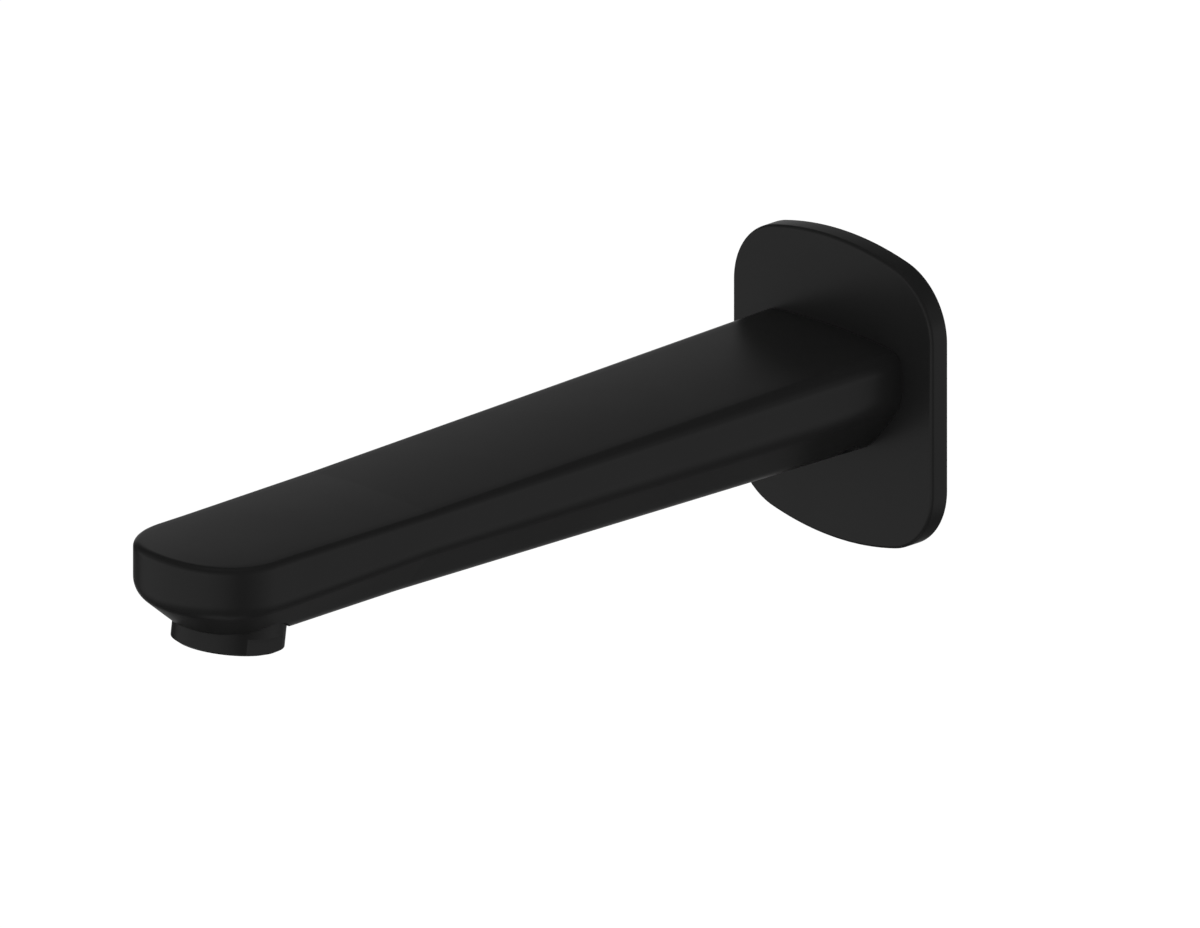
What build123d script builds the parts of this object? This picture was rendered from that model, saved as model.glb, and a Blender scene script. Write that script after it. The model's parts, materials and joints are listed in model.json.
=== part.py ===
"""Wall-mounted bath spout: cast body, wall plate, threaded inlet nipple and a screwed-on aerator.

The origin is the middle of the wall plate's back, on the wall. The spout reaches out along -Y, +Z is up,
and the nipple's thread goes into the wall along +Y. All sizes are millimetres.
"""

import os
from math import asin, cos, hypot, radians, sin, sqrt

from build123d import *

# Wall plate
plate_width = 60.0
plate_height = 67.1
plate_thickness = 4.45
plate_corner_radius = 15.4
plate_arch_rise = 6.15      # how far the arched top and bottom rise above their ends
plate_edge_radius = 0.8
plate_hole_radius = 12.2
gasket_inset = 4.0          # from the plate's outline to the seal's groove
gasket_width = 4.0
gasket_depth = 1.6

# Spout body, in plan
reach = 200.0               # wall to the front of the nose
wall_width = 42.0           # where the body meets the plate
nose_width = 35.9
nose_length = 24.0          # along it the sides run parallel
nose_corner_radius = 16.0
nose_front_radius = 25.3
waist_setback = 61.1        # behind the front, where the top and the underside change slope

# Spout body, section heights and roundings at the wall, and from the waist on
wall_top = 13.73
wall_side_foot = 1.2        # where the side would meet the sloping lower flank
wall_bottom = -12.41
wall_flank_run = 11.36      # how far in the flank reaches
wall_top_radius = 4.05
wall_side_radius = 9.75
wall_bottom_radius = 12.2
waist_top = 11.4
waist_side_foot = 2.02
waist_bottom = -10.43
waist_flank_run = 10.31
nose_side_foot = 0.53
nose_flank_run = 9.7
nose_front_run = 12.53
top_radius = 1.6
side_radius = 5.5
bottom_radius = 11.6
crown_share = 0.049         # rise of the arched top, as a share of the half width

# Outlet, on an axis that leans forwards
outlet_lean = 8.1           # degrees
outlet_setback = 19.53      # from the front to the middle of the aerator's rim
outlet_rim = -12.36         # height of the middle of the rim
housing_radius = 12.0
housing_height = 8.8
rim_chamfer_in = 1.05       # the bevel round the rim, across and up
rim_chamfer_up = 0.6
housing_flats = 21.7        # across the spanner flats
flats_height = 3.85
housing_lip = 1.0
lip_opening_radius = 9.3
insert_bore_radius = 10.2
thread_bore_radius = 10.75
recess_gap = 0.7            # round the housing
recess_head_room = 0.4      # above the housing
stub_bore_length = 9.0      # from the stub's end into the channel
stub_bore_radius = 9.0
fit_gap = 0.05

# Waterway inside the body
channel_inlet_radius = 8.0
channel_half_width = 12.5
channel_half_height = 5.4
channel_rise = 3.6          # of the channel's middle at the nose
channel_setback = 12.6      # from the front to the channel's end
channel_lap = 1.0           # how far the channel starts inside the socket

# Inlet nipple
thread_radius = 10.4775     # G 1/2 parallel pipe thread, 20.955 across
thread_length = 12.5
thread_chamfer = 1.0
nipple_neck_radius = 9.3
nipple_neck_length = 1.2
hex_flats = 20.0
hex_back = 0.8              # behind the wall plane
hex_front = 3.4             # in front of it
spigot_radius = 9.0
spigot_end = 24.0
nipple_bore_radius = 6.5
socket_depth = 25.0         # from the wall
ring_section_radius = 0.86
ring_groove_radius = 7.3
ring_groove_width = 2.4
ring_places = (15.4, 20.6)  # from the wall

# Grub screw that holds the body on the nipple
screw_angle = 46.0          # from straight down, towards +X
screw_at = 10.5             # from the wall
screw_radius = 2.5
screw_length = 5.0
screw_socket_flats = 2.5
screw_socket_depth = 2.5
screw_hole_radius = 2.65
screw_groove_radius = 8.5
screw_groove_width = 5.6

# Aerator cartridge, stacked on the housing's lip
straightener_height = 1.6
cell_size = 2.1
cell_wall = 0.4
screen_thickness = 0.4
screen_pitch = 1.7
screen_gap = 1.1
flange_height = 0.8
cup_radius = 8.6
cup_wall = 1.0
cup_height = 4.2
air_slots = 8
air_slot_width = 2.2
air_slot_height = 1.6
jet_plate_height = 1.2
jet_count = 12
jet_radius = 0.5
jet_circle_radius = 5.6
washer_thickness = 1.2
strainer_height = 2.2
strainer_wall = 0.5
strainer_hole_radius = 0.45
strainer_hole_pitch = 2.0   # between the rings of holes, and about as much round each ring
strainer_ring_counts = (6, 12, 18)
seat_gap = 0.02

# Worked-out sizes
nose_start = reach - nose_length
waist_at = reach - waist_setback
outlet_at = reach - outlet_setback
channel_end = reach - channel_setback
wall_half = wall_width / 2
nose_half = nose_width / 2
taper = (wall_half - nose_half) / (nose_start - plate_thickness)
waist_half = wall_half - taper * (waist_at - plate_thickness)
recess_radius = housing_radius + recess_gap
recess_ceiling = housing_height + recess_head_room
stub_radius = thread_bore_radius - fit_gap
socket_radius = spigot_radius + fit_gap
outlet_plane = Plane(
    origin=(0, -outlet_at, outlet_rim),
    x_dir=(1, 0, 0),
    z_dir=(0, sin(radians(outlet_lean)), cos(radians(outlet_lean))),
)
straightener_base = housing_lip + seat_gap
screen_base = straightener_base + straightener_height + seat_gap
flange_base = screen_base + screen_thickness + seat_gap
washer_base = flange_base + flange_height + seat_gap
stub_base = washer_base + washer_thickness + seat_gap
cup_top = flange_base + flange_height + cup_height
jet_plate_base = cup_top - jet_plate_height
strainer_base = cup_top + seat_gap
thread_bore_base = stub_base - 0.3
cartridge_radius = insert_bore_radius - fit_gap
screw_tip = screw_groove_radius + seat_gap
thread_base = hex_back + nipple_neck_length
nipple_back = thread_base + thread_length
screw_plane = Plane(
    origin=(0, -screw_at, 0),
    x_dir=(0, 1, 0),
    z_dir=(sin(radians(screw_angle)), 0, -cos(radians(screw_angle))),
)
UP = (Align.CENTER, Align.CENTER, Align.MIN)


def out_from_wall(distance):
    """The upright plane at this distance from the wall, seen with +X right and +Z up."""
    return Plane.XZ.offset(distance)


def body_section(distance, half, top, foot, bottom, run, radii):
    """The body's outline at one station: arched top, upright sides, sloping flanks, flat bottom."""
    rise = crown_share * half
    with BuildSketch(out_from_wall(distance)) as section:
        with BuildLine():
            ThreePointArc((-half, top - rise), (0, top), (half, top - rise))
            Polyline((half, top - rise), (half, foot), (half - run, bottom),
                     (run - half, bottom), (-half, foot), (-half, top - rise))
        make_face()
        for height, radius in zip((bottom, foot, top - rise), radii):
            fillet([corner for corner in section.vertices() if abs(corner.Y - height) < 0.001], radius)
    return section.sketch


def nose_outline(half, front, front_radius, corner_radius, height):
    """The nose in plan at one height: parallel sides, rounded corners and a gently arched front."""
    lean = asin((half - corner_radius) / (front_radius - corner_radius))
    corner_y = front_radius - front - (front_radius - corner_radius) * cos(lean)
    joint_x = front_radius * sin(lean)
    joint_y = front_radius - front - front_radius * cos(lean)
    middle = (radians(90) + lean) / 2
    elbow_x = half - corner_radius + corner_radius * sin(middle)
    elbow_y = corner_y - corner_radius * cos(middle)
    with BuildSketch(Plane.XY.offset(height)) as outline:
        with BuildLine():
            Line((-half, -nose_start), (half, -nose_start))
            Line((half, -nose_start), (half, corner_y))
            ThreePointArc((half, corner_y), (elbow_x, elbow_y), (joint_x, joint_y))
            ThreePointArc((joint_x, joint_y), (0, -front), (-joint_x, joint_y))
            ThreePointArc((-joint_x, joint_y), (-elbow_x, elbow_y), (-half, corner_y))
            Line((-half, corner_y), (-half, -nose_start))
        make_face()
    return outline.sketch


nose_lean = asin((nose_half - nose_corner_radius) / (nose_front_radius - nose_corner_radius))
foot_half = nose_half - nose_flank_run
foot_corner_radius = 0.955 * foot_half
foot_front_radius = foot_corner_radius + (foot_half - foot_corner_radius) / sin(nose_lean)
station_radii = (bottom_radius, side_radius, top_radius)

# The outlet's recess, with the room that its threaded stub takes up left out
with BuildPart(outlet_plane) as recess_cutter:
    with Locations((0, 0, -recess_radius)):
        Cylinder(recess_radius, recess_ceiling + recess_radius, align=UP)
    with Locations((0, 0, stub_base)):
        Cylinder(stub_radius, recess_ceiling - stub_base, align=UP, mode=Mode.SUBTRACT)

# Spout body: a cast shell with an inlet socket, a waterway and a recessed, threaded outlet stub
with BuildPart() as spout_body:
    side_outline = nose_outline(nose_half, reach, nose_front_radius, nose_corner_radius, nose_side_foot)
    foot_outline = nose_outline(foot_half, reach - nose_front_run, foot_front_radius,
                                foot_corner_radius, waist_bottom)
    loft([foot_outline, side_outline], ruled=True)
    extrude(side_outline, amount=waist_top - nose_side_foot + 1)
    nose_rise = crown_share * nose_half
    with BuildSketch(out_from_wall(nose_start - 1)) as above_crown:
        with BuildLine():
            ThreePointArc((-nose_half, waist_top - nose_rise), (0, waist_top),
                          (nose_half, waist_top - nose_rise))
            Polyline((nose_half, waist_top - nose_rise), (nose_half, waist_top + 2),
                     (-nose_half, waist_top + 2), (-nose_half, waist_top - nose_rise))
        make_face()
    extrude(above_crown.sketch, amount=reach, mode=Mode.SUBTRACT)

    def nose_loop(height, reach_of_match):
        """The edges round the nose at one height, without those on the joint plane."""
        return [edge for edge in spout_body.edges()
                if abs(edge.center().Z - height) < reach_of_match and edge.center().Y < -nose_start - 0.1]

    fillet(nose_loop(waist_bottom, 0.01), bottom_radius)
    fillet(nose_loop(nose_side_foot, 0.01), side_radius)
    fillet(nose_loop(waist_top - nose_rise / 2, nose_rise), top_radius)

    nose_section = body_section(nose_start, nose_half, waist_top, nose_side_foot, waist_bottom,
                                nose_flank_run, station_radii)
    waist_section = body_section(waist_at, waist_half, waist_top, waist_side_foot, waist_bottom,
                                 waist_flank_run, station_radii)
    wall_section = body_section(plate_thickness, wall_half, wall_top, wall_side_foot, wall_bottom,
                                wall_flank_run, (wall_bottom_radius, wall_side_radius, wall_top_radius))
    loft([nose_section, waist_section], ruled=True)
    loft([waist_section, wall_section], ruled=True)

    # The outlet's recess, and the threaded stub left standing in it
    add(recess_cutter.part, mode=Mode.SUBTRACT)

    # Inlet socket, waterway and the outlet's bore
    with Locations(out_from_wall(plate_thickness)):
        Cylinder(socket_radius, socket_depth - plate_thickness, align=UP, mode=Mode.SUBTRACT)
    with BuildSketch(out_from_wall(socket_depth - channel_lap)) as channel_inlet:
        Circle(channel_inlet_radius)
    with BuildSketch(out_from_wall(channel_end)) as channel_outlet:
        with Locations((0, channel_rise)):
            Ellipse(channel_half_width, channel_half_height)
    loft([channel_inlet.sketch, channel_outlet.sketch], mode=Mode.SUBTRACT)
    with Locations(outlet_plane.offset(stub_base)):
        Cylinder(stub_bore_radius, stub_bore_length, align=UP, mode=Mode.SUBTRACT)

    # Tapped hole for the grub screw
    with Locations(screw_plane.offset(screw_groove_radius)):
        Cylinder(screw_hole_radius, wall_half, align=UP, mode=Mode.SUBTRACT)

spout_body.part.label = "spout_body"
os.makedirs("parts", exist_ok=True)
export_step(spout_body.part, "parts/spout_body.step")

# Wall plate: an arched cover plate with a seal's groove round its back
with BuildSketch(Plane.XZ) as plate_outline:
    with BuildLine():
        shoulder = plate_height / 2 - plate_arch_rise
        half_plate = plate_width / 2
        ThreePointArc((-half_plate, shoulder), (0, plate_height / 2), (half_plate, shoulder))
        Line((half_plate, shoulder), (half_plate, -shoulder))
        ThreePointArc((half_plate, -shoulder), (0, -plate_height / 2), (-half_plate, -shoulder))
        Line((-half_plate, -shoulder), (-half_plate, shoulder))
    make_face()
    fillet(plate_outline.vertices(), plate_corner_radius)


def plate_ring(inset, width):
    """A band that follows the plate's outline, this far in from its edge."""
    with BuildSketch(Plane.XZ) as band:
        offset(plate_outline.sketch_local, amount=-inset, mode=Mode.ADD)
        offset(plate_outline.sketch_local, amount=-inset - width, mode=Mode.SUBTRACT)
    return band.sketch


with BuildPart() as wall_plate:
    extrude(plate_outline.sketch, amount=plate_thickness)
    fillet(wall_plate.faces().sort_by(Axis.Y)[0].edges(), plate_edge_radius)
    with Locations(Plane.XZ):
        Cylinder(plate_hole_radius, plate_thickness, align=UP, mode=Mode.SUBTRACT)
    extrude(plate_ring(gasket_inset, gasket_width), amount=gasket_depth, mode=Mode.SUBTRACT)

wall_plate.part.label = "wall_plate"
export_step(wall_plate.part, "parts/wall_plate.step")

# Soft seal in the plate's groove, flush with the wall
with BuildPart() as plate_seal:
    extrude(plate_ring(gasket_inset + fit_gap, gasket_width - 2 * fit_gap), amount=gasket_depth - seat_gap)

plate_seal.part.label = "plate_seal"
export_step(plate_seal.part, "parts/plate_seal.step")

# Inlet nipple: pipe thread into the wall, hexagon for the spanner, spigot into the body's socket
with BuildPart() as inlet_nipple:
    lead = 0.6
    with BuildSketch(Plane.XY) as nipple_profile:
        with BuildLine():
            Polyline(
                (nipple_bore_radius, -spigot_end),
                (spigot_radius - lead, -spigot_end),
                (spigot_radius, lead - spigot_end),
                (spigot_radius, hex_back),
                (nipple_neck_radius, hex_back),
                (nipple_neck_radius, thread_base),
                (thread_radius - thread_chamfer, thread_base),
                (thread_radius, thread_base + thread_chamfer),
                (thread_radius, nipple_back - thread_chamfer),
                (thread_radius - thread_chamfer, nipple_back),
                (nipple_bore_radius, nipple_back),
                (nipple_bore_radius, -spigot_end),
            )
        make_face()
    revolve(nipple_profile.sketch, axis=Axis.Y)
    with BuildSketch(Plane.XZ.offset(-hex_back)) as nipple_hex:
        RegularPolygon(hex_flats / 2, 6, major_radius=False)
        Circle(nipple_bore_radius, mode=Mode.SUBTRACT)
    extrude(nipple_hex.sketch, amount=hex_back + hex_front)
    with BuildSketch(Plane.XY) as nipple_grooves:
        for place in ring_places:
            with Locations((ring_groove_radius, -place)):
                Rectangle(spigot_radius, ring_groove_width, align=(Align.MIN, Align.CENTER))
        with Locations((screw_groove_radius, -screw_at)):
            Rectangle(spigot_radius, screw_groove_width, align=(Align.MIN, Align.CENTER))
    revolve(nipple_grooves.sketch, axis=Axis.Y, mode=Mode.SUBTRACT)

inlet_nipple.part.label = "inlet_nipple"
export_step(inlet_nipple.part, "parts/inlet_nipple.step")

# Sealing rings on the spigot
ring_middle_radius = (ring_groove_radius + socket_radius) / 2

with BuildPart() as outer_ring:
    with Locations(out_from_wall(ring_places[0])):
        Torus(ring_middle_radius, ring_section_radius)

outer_ring.part.label = "outer_ring"
export_step(outer_ring.part, "parts/outer_ring.step")

with BuildPart() as inner_ring:
    with Locations(out_from_wall(ring_places[1])):
        Torus(ring_middle_radius, ring_section_radius)

inner_ring.part.label = "inner_ring"
export_step(inner_ring.part, "parts/inner_ring.step")

# Grub screw
with BuildPart() as grub_screw:
    with Locations(screw_plane.offset(screw_tip)):
        Cylinder(screw_radius, screw_length, align=UP)
    chamfer(grub_screw.edges().filter_by(GeomType.CIRCLE), 0.5)
    with BuildSketch(screw_plane.offset(screw_tip + screw_length)) as screw_socket:
        RegularPolygon(screw_socket_flats / 2, 6, major_radius=False)
    extrude(screw_socket.sketch, amount=-screw_socket_depth, mode=Mode.SUBTRACT)

grub_screw.part.label = "grub_screw"
export_step(grub_screw.part, "parts/grub_screw.step")

# Aerator housing: screwed onto the stub, with two flats for a spanner
with BuildPart(outlet_plane) as outlet_housing:
    Cone(housing_radius - rim_chamfer_in, housing_radius, rim_chamfer_up, align=UP)
    with Locations((0, 0, rim_chamfer_up)):
        Cylinder(housing_radius, housing_height - rim_chamfer_up, align=UP)
    for side in (-1, 1):
        with Locations((side * (housing_flats + housing_radius) / 2, 0, 0)):
            Box(housing_radius, 2 * housing_radius, flats_height, align=UP, mode=Mode.SUBTRACT)
    Cylinder(lip_opening_radius, housing_height, align=UP, mode=Mode.SUBTRACT)
    with Locations((0, 0, housing_lip)):
        Cylinder(insert_bore_radius, housing_height, align=UP, mode=Mode.SUBTRACT)
    with Locations((0, 0, thread_bore_base)):
        Cylinder(thread_bore_radius, housing_height, align=UP, mode=Mode.SUBTRACT)

outlet_housing.part.label = "outlet_housing"
export_step(outlet_housing.part, "parts/outlet_housing.step")

# Flow straightener: a honeycomb disc that lies on the housing's lip and shows from below
cell_pitch = cell_size + cell_wall
row_pitch = cell_pitch * sqrt(3) / 2
cells = [
    ((column + 0.5 * (row % 2)) * cell_pitch, row * row_pitch)
    for row in range(-4, 5)
    for column in range(-5, 6)
]
cells = [cell for cell in cells if hypot(*cell) + cell_size / 2 < lip_opening_radius - cell_wall]

with BuildPart() as flow_straightener:
    with BuildSketch(outlet_plane.offset(straightener_base)):
        Circle(cartridge_radius)
        with Locations(*cells):
            RegularPolygon(cell_size / 2, 6, major_radius=False, rotation=30, mode=Mode.SUBTRACT)
    extrude(amount=straightener_height)

flow_straightener.part.label = "flow_straightener"
export_step(flow_straightener.part, "parts/flow_straightener.step")

# Wire screen above it
meshes = [(column * screen_pitch, row * screen_pitch) for row in range(-5, 6) for column in range(-5, 6)]
meshes = [mesh for mesh in meshes if hypot(*mesh) + screen_gap < lip_opening_radius]

with BuildPart() as mesh_screen:
    with BuildSketch(outlet_plane.offset(screen_base)):
        Circle(cartridge_radius)
        with Locations(*meshes):
            Rectangle(screen_gap, screen_gap, mode=Mode.SUBTRACT)
    extrude(amount=screen_thickness)

mesh_screen.part.label = "mesh_screen"
export_step(mesh_screen.part, "parts/mesh_screen.step")

# Cartridge cup, whose flange is pinched between the screen and the washer
with BuildPart(outlet_plane) as cartridge_cup:
    with Locations((0, 0, flange_base)):
        Cylinder(cartridge_radius, flange_height, align=UP)
        Cylinder(cup_radius, flange_height + cup_height, align=UP)
        Cylinder(cup_radius - cup_wall, flange_height + cup_height, align=UP, mode=Mode.SUBTRACT)
    with Locations((0, 0, flange_base + flange_height + air_slot_height)):
        with PolarLocations(cup_radius, air_slots):
            Box(3 * cup_wall, air_slot_width, air_slot_height, mode=Mode.SUBTRACT)

cartridge_cup.part.label = "cartridge_cup"
export_step(cartridge_cup.part, "parts/cartridge_cup.step")

# Jet plate in the top of the cup
with BuildPart(outlet_plane) as jet_plate:
    with Locations((0, 0, jet_plate_base)):
        Cylinder(cup_radius - cup_wall - fit_gap, jet_plate_height, align=UP)
        with PolarLocations(jet_circle_radius, jet_count):
            Cylinder(jet_radius, jet_plate_height, align=UP, mode=Mode.SUBTRACT)

jet_plate.part.label = "jet_plate"
export_step(jet_plate.part, "parts/jet_plate.step")

# Sealing washer between the cup's flange and the stub
with BuildPart(outlet_plane) as outlet_washer:
    with Locations((0, 0, washer_base)):
        Cylinder(cartridge_radius, washer_thickness, align=UP)
        Cylinder(cup_radius + fit_gap, washer_thickness, align=UP, mode=Mode.SUBTRACT)

outlet_washer.part.label = "outlet_washer"
export_step(outlet_washer.part, "parts/outlet_washer.step")

# Strainer cap on the cup
with BuildPart(outlet_plane) as strainer_cap:
    with Locations((0, 0, strainer_base)):
        Cylinder(cup_radius, strainer_height, align=UP)
        Cylinder(cup_radius - strainer_wall, strainer_height - strainer_wall, align=UP, mode=Mode.SUBTRACT)
        for ring_number, hole_count in enumerate(strainer_ring_counts, start=1):
            with PolarLocations(ring_number * strainer_hole_pitch, hole_count):
                Cylinder(strainer_hole_radius, strainer_height, align=UP, mode=Mode.SUBTRACT)

strainer_cap.part.label = "strainer_cap"
export_step(strainer_cap.part, "parts/strainer_cap.step")
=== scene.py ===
# %% [markdown]
# # A wall-mounted bath spout in black
#
# This lesson gives them their finish. The pieces that show most, the body, the wall plate and the aerator's
# housing, are made again here as finer meshes with clean smooth shading, and the nipple behind the plate gets
# its pipe thread.

# %% Load the frame
import json
from math import asin, atan2, cos, pi, radians, sin, sqrt, tan

import bmesh
import bpy
from mathutils import Matrix, Vector

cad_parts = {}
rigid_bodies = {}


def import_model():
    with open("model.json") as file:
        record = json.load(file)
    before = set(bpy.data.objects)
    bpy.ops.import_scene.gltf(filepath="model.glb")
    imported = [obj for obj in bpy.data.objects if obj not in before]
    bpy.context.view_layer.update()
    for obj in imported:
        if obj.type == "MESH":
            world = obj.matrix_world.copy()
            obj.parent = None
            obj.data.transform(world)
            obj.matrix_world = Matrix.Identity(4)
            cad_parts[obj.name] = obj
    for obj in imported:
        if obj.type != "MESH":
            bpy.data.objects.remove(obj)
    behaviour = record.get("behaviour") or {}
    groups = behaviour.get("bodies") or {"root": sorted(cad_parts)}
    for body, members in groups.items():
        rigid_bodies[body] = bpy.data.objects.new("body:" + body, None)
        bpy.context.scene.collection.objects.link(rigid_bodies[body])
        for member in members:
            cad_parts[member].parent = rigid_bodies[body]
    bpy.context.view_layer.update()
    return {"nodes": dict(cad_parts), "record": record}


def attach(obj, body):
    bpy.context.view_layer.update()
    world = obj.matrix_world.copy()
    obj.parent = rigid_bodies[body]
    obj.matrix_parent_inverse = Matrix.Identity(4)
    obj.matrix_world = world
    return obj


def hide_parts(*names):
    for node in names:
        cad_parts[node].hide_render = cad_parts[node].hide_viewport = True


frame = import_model()
print("CAD nodes:", ", ".join(sorted(frame["nodes"])))

# %% [markdown]
# ## Small helpers
#
# Colours are written as the hex values that a paint program shows. Blender's shaders work in linear light, so one
# function turns them over. Another adds a shader or geometry node with its settings and links, which keeps each
# node tree readable as a list. Meshes are written in millimetres, as on a drawing, and stored in metres.

# %% Helpers
MM = 0.001
SAME_POINT = 1e-7


def colour(hex_value):
    """An sRGB hex value as the linear RGBA that shader sockets take."""
    parts = [int(hex_value[i:i + 2], 16) / 255 for i in (1, 3, 5)]
    linear = [p / 12.92 if p <= 0.04045 else ((p + 0.055) / 1.055) ** 2.4 for p in parts]
    return (*linear, 1.0)


def add_node(tree, kind, settings=None, inputs=None):
    """Adds a node, sets its properties, and fills or links its inputs."""
    node = tree.nodes.new(kind)
    for name, value in (settings or {}).items():
        setattr(node, name, value)
    for name, value in (inputs or {}).items():
        socket = node.inputs[name]
        if isinstance(value, bpy.types.NodeSocket):
            tree.links.new(value, socket)
        else:
            socket.default_value = value
    return node


def weld(mesh, reach):
    """Merges points closer than the reach, drops what that leaves without area, and turns the faces outwards."""
    work = bmesh.new()
    work.from_mesh(mesh)
    bmesh.ops.remove_doubles(work, verts=work.verts, dist=reach)
    bmesh.ops.dissolve_degenerate(work, edges=work.edges, dist=reach)
    bmesh.ops.recalc_face_normals(work, faces=work.faces)
    open_edges = sum(not edge.is_manifold for edge in work.edges)
    work.to_mesh(mesh)
    work.free()
    return open_edges


def mesh_piece(name, points, faces):
    """A mesh object from points in millimetres, with its doubles merged and its faces turned outwards."""
    mesh = bpy.data.meshes.new(name)
    mesh.from_pydata([Vector(p) * MM for p in points], [], faces)
    weld(mesh, SAME_POINT)
    piece = bpy.data.objects.new(name, mesh)
    bpy.context.scene.collection.objects.link(piece)
    return piece


def bridge(rings, closed_rings=True, closed_path=False):
    """Faces between rings of equal length, given as lists of point numbers."""
    faces = []
    count = len(rings[0])
    pairs = list(zip(rings, rings[1:])) + ([(rings[-1], rings[0])] if closed_path else [])
    for one, two in pairs:
        for i in range(count if closed_rings else count - 1):
            j = (i + 1) % count
            faces.append((one[i], one[j], two[j], two[i]))
    return faces


def ring_piece(name, rings, closed_path=True):
    """A piece from rings of points, one behind the other; closed_path joins the last to the first."""
    count = len(rings[0])
    points = [p for ring in rings for p in ring]
    numbers = [list(range(i * count, (i + 1) * count)) for i in range(len(rings))]
    faces = bridge(numbers, True, closed_path)
    if not closed_path:
        faces += [tuple(numbers[0]), tuple(numbers[-1])]
    return mesh_piece(name, points, faces)


def bake(piece):
    """Turns a piece's modifiers into plain mesh."""
    bpy.context.view_layer.update()
    evaluated = piece.evaluated_get(bpy.context.evaluated_depsgraph_get())
    mesh = bpy.data.meshes.new_from_object(evaluated)
    piece.modifiers.clear()
    piece.data = mesh


def cut(piece, *tools):
    """Cuts the tools out of a piece with exact booleans, then throws the tools away."""
    for tool in tools:
        step = piece.modifiers.new(tool.name, "BOOLEAN")
        step.operation = "DIFFERENCE"
        step.solver = "EXACT"
        step.object = tool
    bake(piece)
    for tool in tools:
        bpy.data.objects.remove(tool)
    print(piece.name, "has", weld(piece.data, 0.001 * MM), "open edges after its cuts")


def smooth(piece, angle=30):
    """Smooth shading that stays crisp at edges sharper than the angle."""
    piece.data.polygons.foreach_set("use_smooth", [True] * len(piece.data.polygons))
    piece.data.set_sharp_from_angle(angle=radians(angle))


# %% [markdown]
# ## The camera
#
# In the photograph all parallel edges stay parallel, so it is a parallel projection. An orthographic camera has no
# distance, only a direction, a centre and a width. The direction is 45.9 degrees round from straight in front and
# 20 degrees up. The camera's matrix is put together from its right, up and backward directions.

# %% Camera
VIEW_AZIMUTH, VIEW_ELEVATION = radians(45.93), radians(19.96)
PHOTO_PIXELS, PIXELS_PER_MM = 1200, 4.782
PHOTO_WIDTH_MM = PHOTO_PIXELS / PIXELS_PER_MM
# The middle of the picture, in millimetres from the frame's origin along the picture's own axes.
MIDDLE_RIGHT, MIDDLE_UP = -51.73, -17.15
CAMERA_AWAY_M, CLIP_FAR_M = 1.2, 20
right = Vector((cos(VIEW_AZIMUTH), sin(VIEW_AZIMUTH), 0))
back = Vector((sin(VIEW_AZIMUTH) * cos(VIEW_ELEVATION), -cos(VIEW_AZIMUTH) * cos(VIEW_ELEVATION),
               sin(VIEW_ELEVATION)))
up = back.cross(right)
centre = (right * MIDDLE_RIGHT + up * MIDDLE_UP) * MM
camera_data = bpy.data.cameras.new("photo_camera")
camera_data.type = "ORTHO"
camera_data.ortho_scale = PHOTO_WIDTH_MM * MM
camera_data.clip_end = CLIP_FAR_M
camera = bpy.data.objects.new("photo_camera", camera_data)
turn = Matrix((right, up, back)).transposed().to_4x4()
camera.matrix_world = Matrix.Translation(centre + back * CAMERA_AWAY_M) @ turn
bpy.context.scene.collection.objects.link(camera)
bpy.context.scene.camera = camera
print(f"camera sees {PHOTO_WIDTH_MM:.1f} mm across")

# %% [markdown]
# ## Floor, background and light
#
# The photograph's background is plain white and its light is soft. A black gloss shows little but what it
# reflects, and the way its surfaces fade shows what stood round it: pale walls as a bright band about the horizon,
# brightest in front, with a dark ceiling above and a dark floor close below. Low down behind the spout the band is
# dark too: the spout's outer edges, which mirror that part, turn dark just before they end. A lamp of that shape
# would be a ring, so the world itself carries the band, as one profile by height times one by heading, both in
# degrees. Light Path gives each kind of ray its own world: white for the camera and through clear pieces, an even
# light for matt surfaces, so that a colour renders about as it is written, and the band for reflections.

# %% World levels
scene = bpy.context.scene
scene.view_settings.view_transform = "Standard"
EVEN_LIGHT = 0.95
BAND_BY_HEIGHT = ((-90, 0.4), (-80, 0.3), (-70, 0.03), (-58, 0.03), (-45, 0.08), (-32, 0.415), (-14, 0.415),
                  (-6, 0.525), (2, 0.525), (10, 0.205), (28, 0.205), (37, 0.0), (60, 0.0), (80, 0.08), (90, 0.1))
BAND_BY_HEADING = ((-180, 0.03), (-173, 0.45), (-165, 0.75), (-140, 1.33), (-100, 1.67), (-70, 1.6), (-42, 1.1),
                   (-16, 0.0), (0, 0.4), (30, 1.08), (45, 1.1), (58, 1.0), (72, 0.55), (84, 0.4), (100, 0.7),
                   (120, 0.86), (136, 0.95), (149, 0.78), (159, 0.1), (180, 0.03))
# The dark part low down behind: its level, and how fully it takes the band's place.
REAR_BY_HEIGHT = ((-90, 0.085), (-46, 0.08), (-37, 0.07), (-30, 0.13), (-22, 0.13), (-17, 0.03), (90, 0.03))
REAR_IN_HEADING = ((-180, 0), (76, 0), (88, 1), (113, 1), (126, 0.25), (149, 0.2), (156, 1), (166, 1), (176, 0),
                   (180, 0))
REAR_IN_HEIGHT = ((-90, 0), (-62, 0), (-56, 1), (-10, 1), (-3, 0), (90, 0))
# A ramp holds levels up to 1, so the headings are stored as shares of this one and multiplied by it afterwards.
HEADING_TOP = 1.7


def level_ramp(tree, share, stops, lowest, highest, top=1.0):
    """A ramp whose stops are given as (degrees, level) between two angles; levels are shares of the top one."""
    ramp = add_node(tree, "ShaderNodeValToRGB", inputs={0: share})
    marks = ramp.color_ramp.elements
    while len(marks) < len(stops):
        marks.new(0.5)
    # All places first and then all levels, so that a change in the marks' order can't mix them up.
    for mark, (angle, _) in zip(marks, stops):
        mark.position = (angle - lowest) / (highest - lowest)
    for mark, (_, level) in zip(marks, stops):
        mark.color = (level / top, level / top, level / top, 1)
    return ramp.outputs["Color"]


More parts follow.
